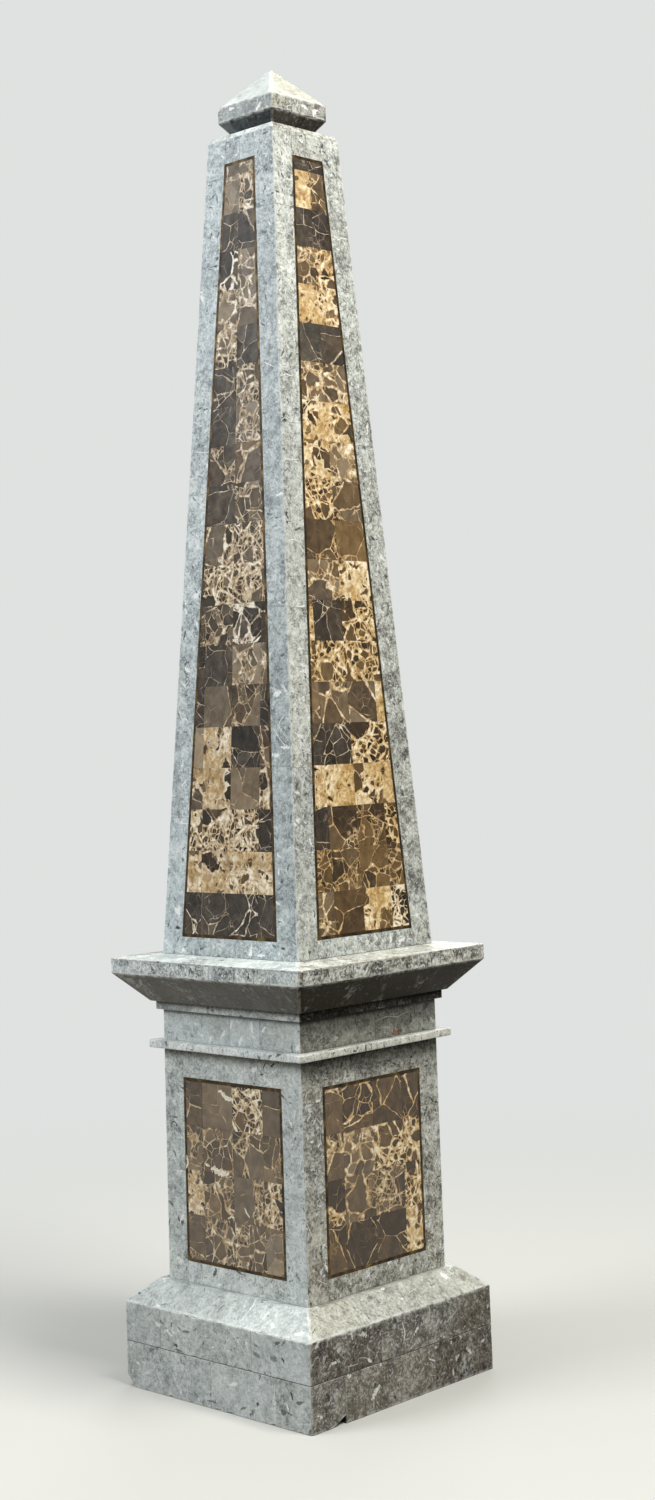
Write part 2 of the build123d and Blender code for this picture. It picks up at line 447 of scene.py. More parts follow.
def noise(place, size, detail, output=0, **inputs):
    """Cloudy noise with patches of a size: its level, or with output=1 its colour."""
    inputs = {"Vector": place, "Scale": 1 / size, "Detail": detail, **inputs}
    return add(tree_of(place), "TexNoise", inputs).outputs[output]


def cells(place, scale, randomness=1.0, **settings):
    """The outputs of a Voronoi texture."""
    inputs = {"Vector": place, "Scale": scale, "Randomness": randomness}
    return add(tree_of(place), "TexVoronoi", inputs, **settings).outputs


def bump(strength, distance, height):
    """A normal bumped by a height, at a distance in millimetres."""
    inputs = {"Strength": strength, "Distance": distance * TO_METRES, "Height": height}
    return add(tree_of(height), "Bump", inputs).outputs[0]


def new_material(name):
    """An empty material, as (material, tree)."""
    material = bpy.data.materials.new(name)
    material.use_nodes = True
    material.node_tree.nodes.clear()
    return material, material.node_tree


def surfaced(material, surface):
    """The material with this surface: a shader's output, or the inputs of a principled shader."""
    tree = material.node_tree
    if isinstance(surface, dict):
        surface = add(tree, "BsdfPrincipled", surface).outputs[0]
    tree.links.new(surface, add(tree, "OutputMaterial").inputs[0])
    return material


def object_place(tree):
    return add(tree, "TexCoord").outputs["Object"]


def stone_place(tree):
    """Where a point is in its own block of stone, in millimetres: each stone has its own shift."""
    shift = add(tree, "Attribute", attribute_name="shift").outputs["Vector"]
    return vector("ADD", vector("SCALE", object_place(tree), Scale=1 / TO_METRES), shift)


def slab_values(tree):
    """The four values that say what a point's slab is like."""
    slab = add(tree, "Attribute", attribute_name="slab").outputs
    return *channels(slab["Color"]), slab["Alpha"]


def honed_limestone():
    """Grey fossil limestone, sawn and honed: a matt sheen over soft clouds full of broken shell.

    It is cool blue-grey or warm grey by the slab, with curved flecks of dark mud and of white
    shell 2 to 6 mm long, specks, whiter patches, calcite veins under 1 mm wide and rubbed edges.
    Close under the ledges its colour is darkened as painted shade.
    """
    material, tree = new_material("honed_limestone")
    place = stone_place(tree)
    tone, warmth, contrast, veined = slab_values(tree)

    # clouds 22 mm across, blotches of 6 mm, mottles of 2.6 mm and grains of 1.1 mm, about the slab's tone
    level, layers = tone, []
    for size, detail, rough, share in (
        (22.0, 3.0, 0.5, 0.42),
        (6.5, 3.0, 0.55, 0.55),
        (2.6, 2.0, 0.6, 0.55),
        (1.1, 1.0, 0.6, 0.42),
    ):
        layers.append(noise(place, size, detail, Roughness=rough))
        level = sum_of(product(less(layers[-1], 0.5), contrast), share, level)
    cloud, blotch = layers[:2]
    # the darkest stops are set dark enough to carry the painted shade of the soffits and of the right fillet
    levels = (0.0, 0.3, 0.5, 0.7, 1.0)
    cools = ("#363f44", "#828e93", "#a9b5b8", "#c5d0d2", "#e8eded")
    warms = ("#2b2215", "#746c60", "#a8a79a", "#c7c8bb", "#ecede3")
    cool, warm = (ramp(level, *zip(levels, five)) for five in (cools, warms))
    colour = mix(warmth, cool, warm)
    ragged = less(noise(place, 1.8, 2.0, Roughness=0.6), 0.5)

    def shells(cell, kept_from, length, thickness, bend):
        """Mask of curved plates lying at random, one in some of the cells of a size, in mm."""
        found = cells(place, 1 / cell)
        chance = channels(found["Color"])
        at = vector("SUBTRACT", place, found["Position"])
        turn = vector("SCALE", found["Color"], Scale=6.28)
        at = add(tree, "VectorRotate", {0: at, "Rotation": turn}, rotation_type="EULER_XYZ").outputs[0]
        along, off, wide = add(tree, "SeparateXYZ", {0: at}).outputs
        off = sum_of(product(along, along), bend, off)
        inside = add(tree, "CombineXYZ", {0: along, 1: off, 2: wide}).outputs[0]
        inside = vector("MULTIPLY", inside, (2 / length, 2 / thickness, 1.4 / length))
        radius = reckon("DIVIDE", vector("LENGTH", inside), sum_of(chance[1], 0.7, 0.5))
        radius = sum_of(ragged, 2.8, radius)
        return product(between(radius, 1.2, 0.8), between(chance[0], kept_from, kept_from + 0.02))

    # whiter patches 10 to 30 mm across, where the stone is full of crushed shell
    shelly, muddy, _ = channels(noise(place, 30, 2.0, output=1))
    crushed = sum_of(shelly, 1.3, noise(place, 3.4, 3.0, Distortion=0.5))
    crushed = between(sum_of(veined, 0.16, crushed), 1.36, 1.56, 0.0, 0.5)
    colour = mix(crushed, colour, "#dfe4e1")

    # flecks of mud and of shell, small and larger, hairs of calcite, whole shells, and a few pits,
    # which show less in the darkest stones
    shown = product(between(tone, 0.0, 0.4, 0.25), contrast)
    flecks = None
    for *plate, hex_colour, strength in (
        (2.9, 0.60, 2.0, 0.9, 0.15, "#5f6567", 0.36),
        (3.6, 0.60, 2.4, 1.0, 0.15, "#dfe4e2", 0.42),
        (6.5, 0.42, 4.8, 1.3, 0.10, "#50575a", 0.60),
        (6.5, 0.50, 4.8, 1.4, 0.10, "#dde2e0", 0.52),
        (11.0, 0.55, 6.5, 1.8, 0.08, "#3d4243", 0.68),
        (15.0, 0.62, 13.0, 0.6, 0.02, "#e4e8e5", 0.55),
        (14.0, 0.66, 7.5, 2.6, 0.05, "#e8eae6", 0.95),
        (19.0, 0.70, 4.6, 3.0, 0.10, "#2c2d2d", 0.85),
    ):
        fleck = shells(*plate)
        share = reckon("MULTIPLY", shown, strength, use_clamp=True)
        colour = mix(product(fleck, share), colour, hex_colour)
        flecks = fleck if flecks is None else reckon("ADD", flecks, fleck)

    # short curled hairlines of mud in the muddy patches
    muddy = between(sum_of(contrast, 0.10, muddy), 0.60, 0.72)
    curl = reckon("ABSOLUTE", less(noise(place, 6.0, 2.0, Distortion=1.4), 0.47))
    curl = product(between(curl, 0.022, 0.008), between(blotch, 0.5, 0.44, 0.0, 0.7))
    colour = mix(product(curl, muddy), colour, "#4a4d4b")

    # calcite veins: the level lines of a slow noise, broken up by another
    broken = product(between(cloud, 0.45, 0.52), between(veined, 0.3, 0.7))
    vein = reckon("ABSOLUTE", less(noise(place, 60, 2.0, Distortion=0.4), 0.5))
    colour = mix(product(between(vein, 0.006, 0.002), broken), colour, "#e8eae4")

    # rubbed and broken edges show the paler stone under the honed face
    wear = add(tree, "Attribute", attribute_name="wear").outputs["Fac"]
    worn = product(product(wear, between(blotch, 0.38, 0.58, 0.1)), 0.7)
    colour = mix(worn, colour, "#d6d9d3")

    # painted shade: an occlusion test that looks upward darkens the colour close under the ledges, more on
    # the warm stone of the right side, in place of the shadow the ledges cast
    upward = vector("ADD", add(tree, "NewGeometry").outputs["Normal"], (0.0, 0.0, 0.9))
    sky = {"Distance": 16 * TO_METRES, "Normal": vector("NORMALIZE", upward)}
    open_sky = add(tree, "AmbientOcclusion", sky, samples=6).outputs["AO"]
    ledge_shade = product(between(open_sky, 0.64, 0.34), sum_of(warmth, 0.85, 0.1))
    colour = mix(ledge_shade, colour, "#1d1912")

    gloss = sum_of(worn, 0.15, between(blotch, 0.3, 0.7, 0.4, 0.52))
    # the darkest slabs are left dull from the saw, and the painted shade under the ledges has no sheen
    shine = product(between(tone, 0.05, 0.35, 0.08, 0.5), less(1.0, ledge_shade))
    surface = {"Base Color": colour, "Roughness": gloss, "IOR": 1.5, "Specular IOR Level": shine}
    return surfaced(material, {**surface, "Normal": bump(0.3, 0.2, sum_of(flecks, -0.4, level))})


def lime_mortar():
    """Lime mortar, struck flush and darkened by dirt: a dull grainy line between the stones."""
    material, tree = new_material("lime_mortar")
    grain = noise(stone_place(tree), 2.0, 4.0)
    colour = ramp(grain, (0.3, "#2b2822"), (0.5, "#4c473e"), (0.7, "#7b766a"))
    return surfaced(material, {"Base Color": colour, "Roughness": 0.85, "Normal": bump(0.5, 0.3, grain)})


limestone = honed_limestone()
mortar = lime_mortar()

# what one slab of limestone is like: tone from dark to pale, warmth, contrast and veining. The
# right side's warmth is partly its stone and partly a painted warm tint of the light on that
# side, and the front's coolness partly a painted cool tint; where a piece below sets its right
# side darker than its front, that is partly painted shade of the dimmer light there
SIDE_SLAB = {"front": (0.50, 0.38, 1.4, 0.6), "right": (0.50, 0.90, 1.75, 0.55)}


def slab_for(side, facing, tone=0.0, warmer=0.0, busy=1.0):
    """One stone's slab, near its side's values, which are partly the stone and partly painted light. No two
    stones are quite alike.
    """
    side_tone, warmth, contrast, veining = SIDE_SLAB[LIKE[side]]
    return (
        side_tone + tone + facing.draw.uniform(-0.07, 0.07),
        min(1.0, max(0.0, warmth + warmer + facing.draw.uniform(-0.08, 0.1))),
        contrast * busy * facing.draw.uniform(0.85, 1.15),
        veining * busy * facing.draw.uniform(0.3, 1.0),
    )


def face_course(name, seed, course, lips, stones, *nodes, thickness=THICKNESS, warmer=0.0, busy=1.0):
    """Face a course with limestone on its four sides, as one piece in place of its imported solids.

    stones gives each side's tone, and its joints as distances from the side's middle line.
    """
    facing = Facing(seed)
    for side in SIDES:
        tone, joints = stones[LIKE[side]]
        facing.lay_run(course, side, course.outline(*lips), joints, tone, thickness, warmer, busy)
        facing.bed(course, side)
    facing.build(name, [limestone, mortar], nodes)


def upright(half, low, high, radius):
    """A course with an upright face."""
    return Course((half, low, radius), (half, high, radius))


_, plinth_high = box_mm("plinth_front")
bevel_low, bevel_high = box_mm("plinth_bevel_front")
PLINTH_HALF = plinth_high.x
PLINTH_CORNER = 3.0
FACING_DEPTH = 8.0
COURSE_JOINT = 39.2  # height of the joint between the two courses
FOOT_CHIP = (13.5, 12.5)  # run along the feet and height of the corner that is knocked off
EDGE_CHIP = (-92.0, -76.2, 7.0)  # from, to and height of the piece missing from the right side's foot
# the joints of the lower and the upper course, from the side's middle line, and how much paler or
# darker than its side's stone the course is
PLINTH_JOINTS = {"front": ((-5, 76), (-70, 47)), "right": ((-76.2, 38), (-30, 70))}
# the right side's low tone is partly its browner stone and partly painted shade
PLINTH_TONE = {"front": 0.05, "right": -0.25}

lower_course = upright(PLINTH_HALF, 0, COURSE_JOINT, PLINTH_CORNER)
upper_course = upright(PLINTH_HALF, COURSE_JOINT, plinth_high.z, PLINTH_CORNER)

plinth = Facing(11)
for side in SIDES:
    low_joints, high_joints = PLINTH_JOINTS[LIKE[side]]
    tone = PLINTH_TONE[LIKE[side]]
    for stone in split(lower_course.outline("arris", "course"), low_joints):
        if side == "right":
            start, end, rise = EDGE_CHIP
            slope = Vector((-rise, end - start)).normalized()
            if min(corner.x for corner, _ in stone) < start < max(corner.x for corner, _ in stone):
                stone = cut(stone, Vector((start, 0)), slope, "arris")
        plinth.lay(lower_course, side, stone, slab_for(side, plinth, tone, busy=0.75), FACING_DEPTH)
    rim = upper_course.outline("course", "arris")
    plinth.lay_run(upper_course, side, rim, high_joints, tone, busy=0.75)
    plinth.bed(lower_course, side, low=FOOT_CHIP[1])
    plinth.bed(upper_course, side)
plinth_piece = plinth.build("plinth_stones", [limestone, mortar], four("plinth"))


def knock_off(piece, origin, outward):
    """Break a piece's mesh off beyond a plane, and leave a closed face of raw stone there."""
    work = bmesh.new()
    work.from_mesh(piece.data)
    cut_through = bmesh.ops.bisect_plane(
        work,
        geom=work.verts[:] + work.edges[:] + work.faces[:],
        dist=ON_THE_CUT * TO_METRES,
        plane_co=origin,
        plane_no=outward,
        clear_outer=True,
    )
    rim = [part for part in cut_through["geom_cut"] if isinstance(part, bmesh.types.BMEdge)]
    bmesh.ops.holes_fill(work, edges=rim)
    work.to_mesh(piece.data)
    work.free()


run, rise = FOOT_CHIP
knock_off(
    plinth_piece,
    Vector((-PLINTH_HALF, -PLINTH_HALF, rise)) * TO_METRES,
    -Vector((1 / run, 1 / run, 1 / rise)),
)

BEVEL_TOP_HALF = 96.0
BEVEL_STONES = {"front": (0.06, (-62, 8, 71)), "right": (0.0, (-48, 22, 80))}
bevel_course = Course(
    (PLINTH_HALF, bevel_low.z, PLINTH_CORNER),
    (BEVEL_TOP_HALF, bevel_high.z, PLINTH_CORNER),
    (box_mm("dado_frame_front")[1].x - TUCK, bevel_high.z, HIDDEN_CORNER),
)
bevel_solids = four("plinth_bevel")
face_course(
    "plinth_bevel_stones", 12, bevel_course, ("arris", "joint"), BEVEL_STONES, *bevel_solids, busy=0.65
)

# ---- frames of the dado and the shaft ------------------------------------------------------
# Each side of the dado and of the tapering shaft has a frame of limestone strips, 25 mm wide at
# the stiles, glued to the timber core and mitred at the corners. The strips are pieced from
# short lengths, so the tone changes along them.

WORN_CORNER = 0.7  # the mitred corners are rubbed to this radius

slab_low, slab_high = box_mm("closing_slab")
BLOCKS = {}
PANELS = {}
INLAYS = {}
for name in ("dado", "shaft"):
    frame_low, frame_high = box_mm(f"{name}_frame_front")
    foot_half = -frame_low.y
    top_half = foot_half if name == "dado" else slab_high.x
    BLOCKS[name] = Course((foot_half, frame_low.z, WORN_CORNER), (top_half, frame_high.z, WORN_CORNER))
    PANELS[name] = box_mm(f"{name}_stringing_front")
    INLAYS[name] = box_mm(f"{name}_inlay_front")

# the heights of the joints in the left and the right stile
STILES = {
    ("dado", "front"): ((188,), (221,)),
    ("dado", "right"): ((171, 262), (140, 236)),
    ("shaft", "front"): ((503, 668, 804, 923, 1109), (548, 692, 871, 1070)),
    ("shaft", "right"): ((473, 547, 690, 861, 1070), (471, 510, 697, 846, 995)),
}
# the joints of the lower and the upper rail, from the side's middle line
RAILS = {
    ("dado", "front"): ((-44.5, 28.5), (34,)),
    ("dado", "right"): ((1,), (-22,)),
    ("shaft", "front"): ((-24, 20, 31), (0,)),
    ("shaft", "right"): ((-12,), (0,)),
}
FRAME_TONE = {
    ("dado", "front"): 0.13,
    ("dado", "right"): -0.05,
    ("shaft", "front"): 0.0,
    ("shaft", "right"): 0.04,
}

FRAME_SEED = {"dado": 21, "shaft": 22}
FRAME_WARMER = {"dado": 0.0, "shaft": -0.22}  # the shaft's stone is cooler

for name, course in BLOCKS.items():
    panel_low, panel_high = PANELS[name]
    stile = course.at(course.up_at(panel_low.z))[0] - panel_high.x
    frame_stones = Facing(FRAME_SEED[name])
    rail_low, rail_high = course.up_at(panel_low.z), course.up_at(panel_high.z)
    warmer = FRAME_WARMER[name]
    for side in SIDES:
        whole = course.outline("joint", "joint")
        tone = FRAME_TONE[name, LIKE[side]]
        for hand, heights in zip((-1, 1), STILES[name, LIKE[side]]):
            inner = Vector((hand * (course.foot_half - stile), 0))
            toward_corner = Vector((course.taper.y, -hand * course.taper.x)) * hand
            strip = cut(whole, inner, toward_corner, "joint")
            levels = [None, *(course.up_at(height) for height in heights), None]
            for low, high in zip(levels, levels[1:]):
                stone = crop(strip, "joint", low=low, high=high)
                frame_stones.lay(course, side, stone, slab_for(side, frame_stones, tone, warmer))
        middle = course.within(whole, stile, "joint")
        rails = crop(middle, "joint", high=rail_low), crop(middle, "joint", low=rail_high)
        for rail, joints in zip(rails, RAILS[name, LIKE[side]]):
            frame_stones.lay_run(course, side, rail, joints, tone, warmer=warmer)
        frame_stones.bed(course, side)
    solids = four(f"{name}_frame")
    frame_stones.build(f"{name}_frame_stones", [limestone, mortar], solids)

# ---- inlaid panels of the dado and the shaft -----------------------------------------------
# The panels are square tiles of dark brown brecciated marble, cut from several slabs and
# polished together: angular clasts of brown and grey in golden calcite, netted with pale veins.


def polished_marble():
    """Dark brecciated marble, polished: clear soft reflections over packed clasts 3 to 35 mm across.

    Large clasts are whole or broken into smaller ones. They run from near-black to taupe, the
    calcite in the seams between them is gold to cream, and pale hairs wander across and fade out.
    """
    material, tree = new_material("polished_breccia_marble")
    place = stone_place(tree)
    calcite_share, tone, coarse, warmth = slab_values(tree)

    # the clasts' outlines wander by a few millimetres
    bent = place
    for size, sway in ((24, 9.0), (7.0, 1.7), (2.2, 0.35)):
        drift = vector("SUBTRACT", noise(place, size, 1.0, output=1), (0.5, 0.5, 0.5))
        bent = vector("ADD", bent, vector("SCALE", drift, Scale=sway))

    def laid_out(turn, scale):
        """The bent place, turned and scaled."""
        return add(tree, "Mapping", {"Vector": bent, "Rotation": turn, "Scale": scale}).outputs[0]

    cloud = noise(bent, 9, 5.0, Roughness=0.55)
    streak = noise(bent, 4.5, 5.0, Roughness=0.65)
    swells = channels(noise(place, 8, 2.0, output=1))
    zones = channels(noise(place, 26, 2.0, output=1))

    # how far the calcite has pushed the clasts apart: most in a field of its own
    open_ground = sum_of(zones[0], 1.8, sum_of(calcite_share, 0.9, -1.25))
    in_field = between(open_ground, 0.38, 0.62)
    push = sum_of(in_field, 0.75, sum_of(calcite_share, 1.5, 0.08))

    # clasts of three sizes: each one is whole, or broken into the next size
    inside, shade, hue, broken = None, None, None, None
    for part, (size, seam, whole) in enumerate(((33.0, 1.5, 0.0), (13.5, 1.25, 0.30), (5.4, 0.85, 1.0))):
        laid = laid_out((0.5 + part, 0.8 * part, 0.3), (1 / size, 0.8 / size, 0.9 / size))
        near, far = cells(laid, 1.0, 0.9), cells(laid, 1.0, 0.9, feature="F2")
        chance, own_shade, own_hue = channels(near["Color"])
        apart = less(far["Distance"], near["Distance"])
        # the seam swells and closes along its way
        gap = product(product(push, seam), between(swells[part], 0.36, 0.66, 0.25, 1.9))
        own = less(product(apart, size), gap)
        # in the fields, clasts are missing
        lost = reckon("LESS_THAN", own_hue, product(in_field, 0.26))
        own = sum_of(lost, -9.0, own)
        if part == 0:
            inside, shade, hue = own, own_shade, own_hue
        else:
            nested = reckon("SMOOTH_MIN", inside, own, 0.8)
            inside = sum_of(broken, less(nested, inside), inside)
            shade = sum_of(broken, less(own_shade, shade), shade)
            hue = sum_of(broken, less(own_hue, hue), hue)
        kept_whole = sum_of(in_field, -0.4, sum_of(coarse, 1.0 - 0.5 * whole, whole))
        breaks = reckon("GREATER_THAN", chance, kept_whole)
        broken = breaks if broken is None else product(broken, breaks)

    # calcite: streaked, whitest in the seams, with ghosts of clasts in the fields
    web = cells(bent, 1 / 4.4, feature="DISTANCE_TO_EDGE")[0]
    web = product(between(web, 0.02, 0.18, 0.16, 0.0), between(swells[2], 0.38, 0.6))
    ghost = sum_of(shade, 0.16, sum_of(cloud, 0.5, sum_of(streak, 0.4, sum_of(web, 1.0, -0.06))))
    gold_field = ramp(ghost, (0.3, "#93703f"), (0.43, "#bd965a"), (0.55, "#d8b87c"), (0.70, "#f3e1b6"))
    drab_field = ramp(ghost, (0.3, "#776753"), (0.43, "#98846a"), (0.55, "#b19b7d"), (0.70, "#d8c8ae"))
    # in the darkest slabs the calcite is whitest
    whiter = between(tone, 0.1, 0.35, 0.10, 0.0)
    depth = sum_of(streak, 0.8, sum_of(between(inside, -1.6, 0.2, 0.16, 0.0), 1.0, whiter))
    gold_seam = ramp(depth, (0.3, "#8f7042"), (0.43, "#bc9862"), (0.52, "#e0c38d"), (0.62, "#fbf0d2"))
    drab_seam = ramp(depth, (0.3, "#7a6c58"), (0.43, "#a08f77"), (0.52, "#c8baa4"), (0.62, "#f1ebe0"))
    colour = mix(in_field, mix(warmth, drab_seam, gold_seam), mix(warmth, drab_field, gold_field))

    # clasts: mottled, a shade darker around their edge, grey-brown or brown
    level = sum_of(less(shade, 0.5), sum_of(coarse, -0.28, 0.5), sum_of(cloud, 0.6, tone))
    level = sum_of(between(inside, 0.0, 2.0), 0.06, sum_of(in_field, 0.08, level))
    level = less(level, 0.35)
    tint = between(sum_of(hue, 0.4, warmth), 0.15, 1.15)
    greys = ("#2d2b29", "#49443d", "#6d6559", "#8f8575", "#ada391")
    browns = ("#251b0e", "#443420", "#6a5334", "#8d724a", "#b39663")
    grey, brown = (ramp(level, *((k / 4, shade) for k, shade in enumerate(five))) for five in (greys, browns))
    colour = mix(between(inside, -0.10, 0.25), colour, mix(tint, grey, brown))

    # hairs: healed cracks that cross the clasts, thin and fading along their length
    for size, stretch, widest, zone, needed in (
        (15.0, (0.6, 1.0, 0.8), 0.50, zones[1], 0.40),
        (6.0, (1.0, 0.6, 0.7), 0.28, zones[2], 0.49),
    ):
        laid = laid_out((1.1, 0.2, 0.9), [share / size for share in stretch])
        wall = cells(laid, 1.0, feature="DISTANCE_TO_EDGE")[0]
        richness = between(zone, needed, needed + 0.28)
        width = product(richness, between(swells[1], 0.36, 0.66, 0.1))
        width = product(width, sum_of(calcite_share, widest, 0.2))
        over = less(width, product(wall, size))
        line = product(between(over, -0.16, 0.14), between(richness, 0.0, 0.6))
        gold_vein = ramp(width, (0.03, "#8f7044"), (0.18, "#c2a06a"), (0.38, "#ecd9ae"))
        drab_vein = ramp(width, (0.03, "#83756a"), (0.18, "#b5a698"), (0.38, "#e2d8ca"))
        colour = mix(line, colour, mix(warmth, drab_vein, gold_vein))

    surface = {"Base Color": colour, "Roughness": between(cloud, 0.3, 0.7, 0.15, 0.24), "IOR": 1.52}
    return surfaced(material, {**surface, "Normal": bump(0.12, 0.1, streak)})


marble = polished_marble()

# the slabs that the tiles are cut from: share of calcite, tone, coarseness of the clasts and warmth
MARBLE = {
    "n": (0.08, 0.22, 0.80, 0.25),
    "w": (0.60, 0.20, 0.62, 0.25),
    "k": (0.36, 0.16, 0.30, 0.60),
    "d": (0.34, 0.40, 0.22, 0.65),
    "b": (0.22, 0.42, 0.45, 0.85),
    "e": (0.16, 0.28, 0.60, 1.00),
    "c": (0.48, 0.52, 0.45, 0.62),
    "s": (0.10, 0.62, 0.85, 0.60),
    "t": (0.12, 0.88, 0.90, 0.45),
    "p": (0.54, 0.30, 0.10, 0.95),
    "f": (0.98, 0.36, 0.25, 0.95),
}
# the slabs that each panel's tiles are drawn from, the commonest named most often
MIX = {
    ("dado", "front"): "bbbddppsecf",
    ("dado", "right"): "bbbddppecf",
    ("shaft", "front"): "nnnwccctsdddffpb",
    ("shaft", "right"): "ffffppppddcckknnbbe",
}
SAME_SLAB = 0.4  # how often a tile comes from the slab of the tile beside it
ROW_PITCH = {"dado": 38.8, "shaft": 37.4}
TILE_SEED = {"dado": 31, "shaft": 32}
MOST_COLUMNS = 3  # each side of the middle joint
LEAST_TILE = 6.0  # a narrower strip at the edge is left out and its neighbour widened
LEAST_ROW = 1.0
SLAB_SWING = 0.06  # how much a tile's values differ from its slab's
# a panel's share of its slabs' warmth at floor level, and what is lost of it by the very top: the
# front's marble is greyer, and both turn greyer upward, partly the marble itself and partly a
# painted cool tint of the light on the front and toward the top
WARMTH = {"front": (0.7, 0.6), "right": (1.1, 0.3)}

for name, course in BLOCKS.items():
    inlay_low, inlay_high = INLAYS[name]
    inlay_foot, inlay_top = course.up_at(inlay_low.z), course.up_at(inlay_high.z)
    edge = course.at(inlay_foot)[0] - inlay_high.x
    panel = course.within(course.outline("tile", "tile"), edge, "tile")
    tiles = Facing(TILE_SEED[name])
    pitch = ROW_PITCH[name]
    top_z = cad_box[1][2] / TO_METRES
    for side in SIDES:
        at_floor, lost = WARMTH[LIKE[side]]
        row_foot = inlay_foot
        while inlay_top - row_foot > LEAST_ROW:
            row_top = min(row_foot + pitch, inlay_top)
            row = crop(panel, "tile", low=row_foot, high=row_top)
            reach = max(corner.x for corner, _ in row)
            columns = range(-MOST_COLUMNS, MOST_COLUMNS + 1)
            joints = [k * pitch for k in columns if abs(k * pitch) < reach - LEAST_TILE]
            kind = None
            for stone in split(row, joints, "tile"):
                if kind is None or tiles.draw.random() > SAME_SLAB:
                    kind = tiles.draw.choice(MIX[name, LIKE[side]])
                slab = [value + tiles.draw.uniform(-SLAB_SWING, SLAB_SWING) for value in MARBLE[kind]]
                height = (inlay_low.z + row_foot) / top_z
                slab[3] *= at_floor - lost * height
                tiles.lay(course, side, stone, [min(1.0, max(0.0, value)) for value in slab])
            row_foot = row_top
    tiles.build(f"{name}_inlay_tiles", [marble], four(f"{name}_inlay"))

# ---- stringing -----------------------------------------------------------------------------
# A flat strip of brass is let in on edge between each frame and its panel. It has gone nearly
# black with age, and shows its own colour only where hands and cloths have rubbed it.


def patinated_brass():
    """Brass strip, filed flush and left to tarnish: dull dark brown with a warm glint."""
    material, tree = new_material("patinated_brass")
    spots = noise(object_place(tree), 9 * TO_METRES, 5.0)
    colour = ramp(spots, (0.32, "#21180e"), (0.52, "#41321b"), (0.72, "#7b6436"))
    gloss = between(spots, 0.35, 0.7, 0.6, 0.35)
    return surfaced(material, {"Base Color": colour, "Metallic": 0.6, "Roughness": gloss})


def refinish(nodes, material):
    """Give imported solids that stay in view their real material."""
    for node in nodes:
        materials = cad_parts[node].data.materials
        materials.clear()
        materials.append(material)


refinish(four("dado_stringing") + four("shaft_stringing"), patinated_brass())

# ---- belt moulding, frieze and fillet ------------------------------------------------------
# A thin rounded belt of short limestone strips projects over the dado. Above it a plain frieze
# of limestone carries a narrow fillet, both faced like the dado.

belt_low, belt_high = box_mm("belt_moulding")
frieze_low, frieze_high = box_mm("frieze")
fillet_low, fillet_high = box_mm("fillet_strip")
DADO_HALF = BLOCKS["dado"].foot_half
BELT_CORNER = 4.0
BELT_ROUND = 1.2
BELT_FACETS = 3


def belt_profile():
    """The belt from its root, round its two rounded edges and back, in (half, height, corner radius)."""
    points = [(DADO_HALF - TUCK, belt_low.z, HIDDEN_CORNER)]
    for centre_height, first in ((belt_low.z + BELT_ROUND, -90), (belt_high.z - BELT_ROUND, 0)):
        for step in range(BELT_FACETS + 1):
            turn = math.radians(first + 90 * step / BELT_FACETS)
            inward = BELT_ROUND * (1 - math.cos(turn))
            points.append(
                (belt_high.x - inward, centre_height + BELT_ROUND * math.sin(turn), BELT_CORNER - inward)
            )
    points.append((DADO_HALF - TUCK, belt_high.z, HIDDEN_CORNER))
    return points


BELT_STONES = {
    "front": (0.32, (-71, -38, -12, 1, 28, 50, 79)),
    "right": (0.32, (-66, -34, -10, -3, 28, 40, 72)),
}
FRIEZE_STONES = {"front": (0.08, (-38, 0, 38)), "right": (-0.03, (-45, 6, 52))}
# the right fillet's low tone is painted shade, for the shadow under the cornice
FILLET_STONES = {"front": (0.03, (-50, 12, 60)), "right": (-0.4, (-30, 33))}

BUTTED = ("joint", "joint")
belt_course = Course(*belt_profile())
frieze_course = upright(DADO_HALF, frieze_low.z, frieze_high.z, WORN_CORNER)
fillet_course = Course(
    (DADO_HALF - TUCK, fillet_low.z, HIDDEN_CORNER),
    (fillet_high.x, fillet_low.z, WORN_CORNER),
    (fillet_high.x, fillet_high.z, WORN_CORNER),
)
face_course("belt_tiles", 41, belt_course, BUTTED, BELT_STONES, "belt_moulding", thickness=1.4)
face_course("frieze_stones", 42, frieze_course, BUTTED, FRIEZE_STONES, "frieze", busy=0.75)
face_course("fillet_stones", 43, fillet_course, BUTTED, FILLET_STONES, "fillet_strip", thickness=1.4)

# ---- cornice -------------------------------------------------------------------------------
# The cornice is faced in three: a sloping soffit whose slabs are painted dark and brown as
# painted shade, an upright band of short pieces with rounded corners, and a top that falls a
# little to its edge.

soffit_low, soffit_high = box_mm("cornice_soffit")
band_low, band_high = box_mm("cornice_band")
top_low, top_high = box_mm("cornice_top")
CORNICE_CORNER = 6.0
SOFFIT_FOOT_HALF = 99.0
TOP_EDGE = 1.4
# the soffits' low tones, lowest on the right, are painted shade: the same stone seen in the shadow under the
# cornice
SHADED_SOFFIT_STONES = {"front": (-0.26, (-74, -20, 47)), "right": (-0.55, (-60, 5, 50))}
BAND_STONES = {
    "front": (0.08, (-116, -78, -40, 5, 12, 43, 46, 84)),
    "right": (-0.08, (-96, -55, -18, 12, 38, 46, 90)),
}
TOP_STONES = {
    "front": (0.08, (-92, -61, -30, 2, 34, 66, 97)),
    "right": (0.08, (-88, -50, -21, 16, 47, 81)),
}

soffit_course = Course(
    (fillet_high.x - TUCK, soffit_low.z, HIDDEN_CORNER),
    (SOFFIT_FOOT_HALF, soffit_low.z, CORNICE_CORNER),
    (soffit_high.x, soffit_high.z, CORNICE_CORNER),
)
band_course = upright(band_high.x, band_low.z, band_high.z, CORNICE_CORNER)
top_course = Course(
    (top_high.x, top_low.z, CORNICE_CORNER),
    (top_high.x, top_low.z + TOP_EDGE, CORNICE_CORNER),
    (BLOCKS["shaft"].foot_half, top_high.z, CORNICE_CORNER),
)
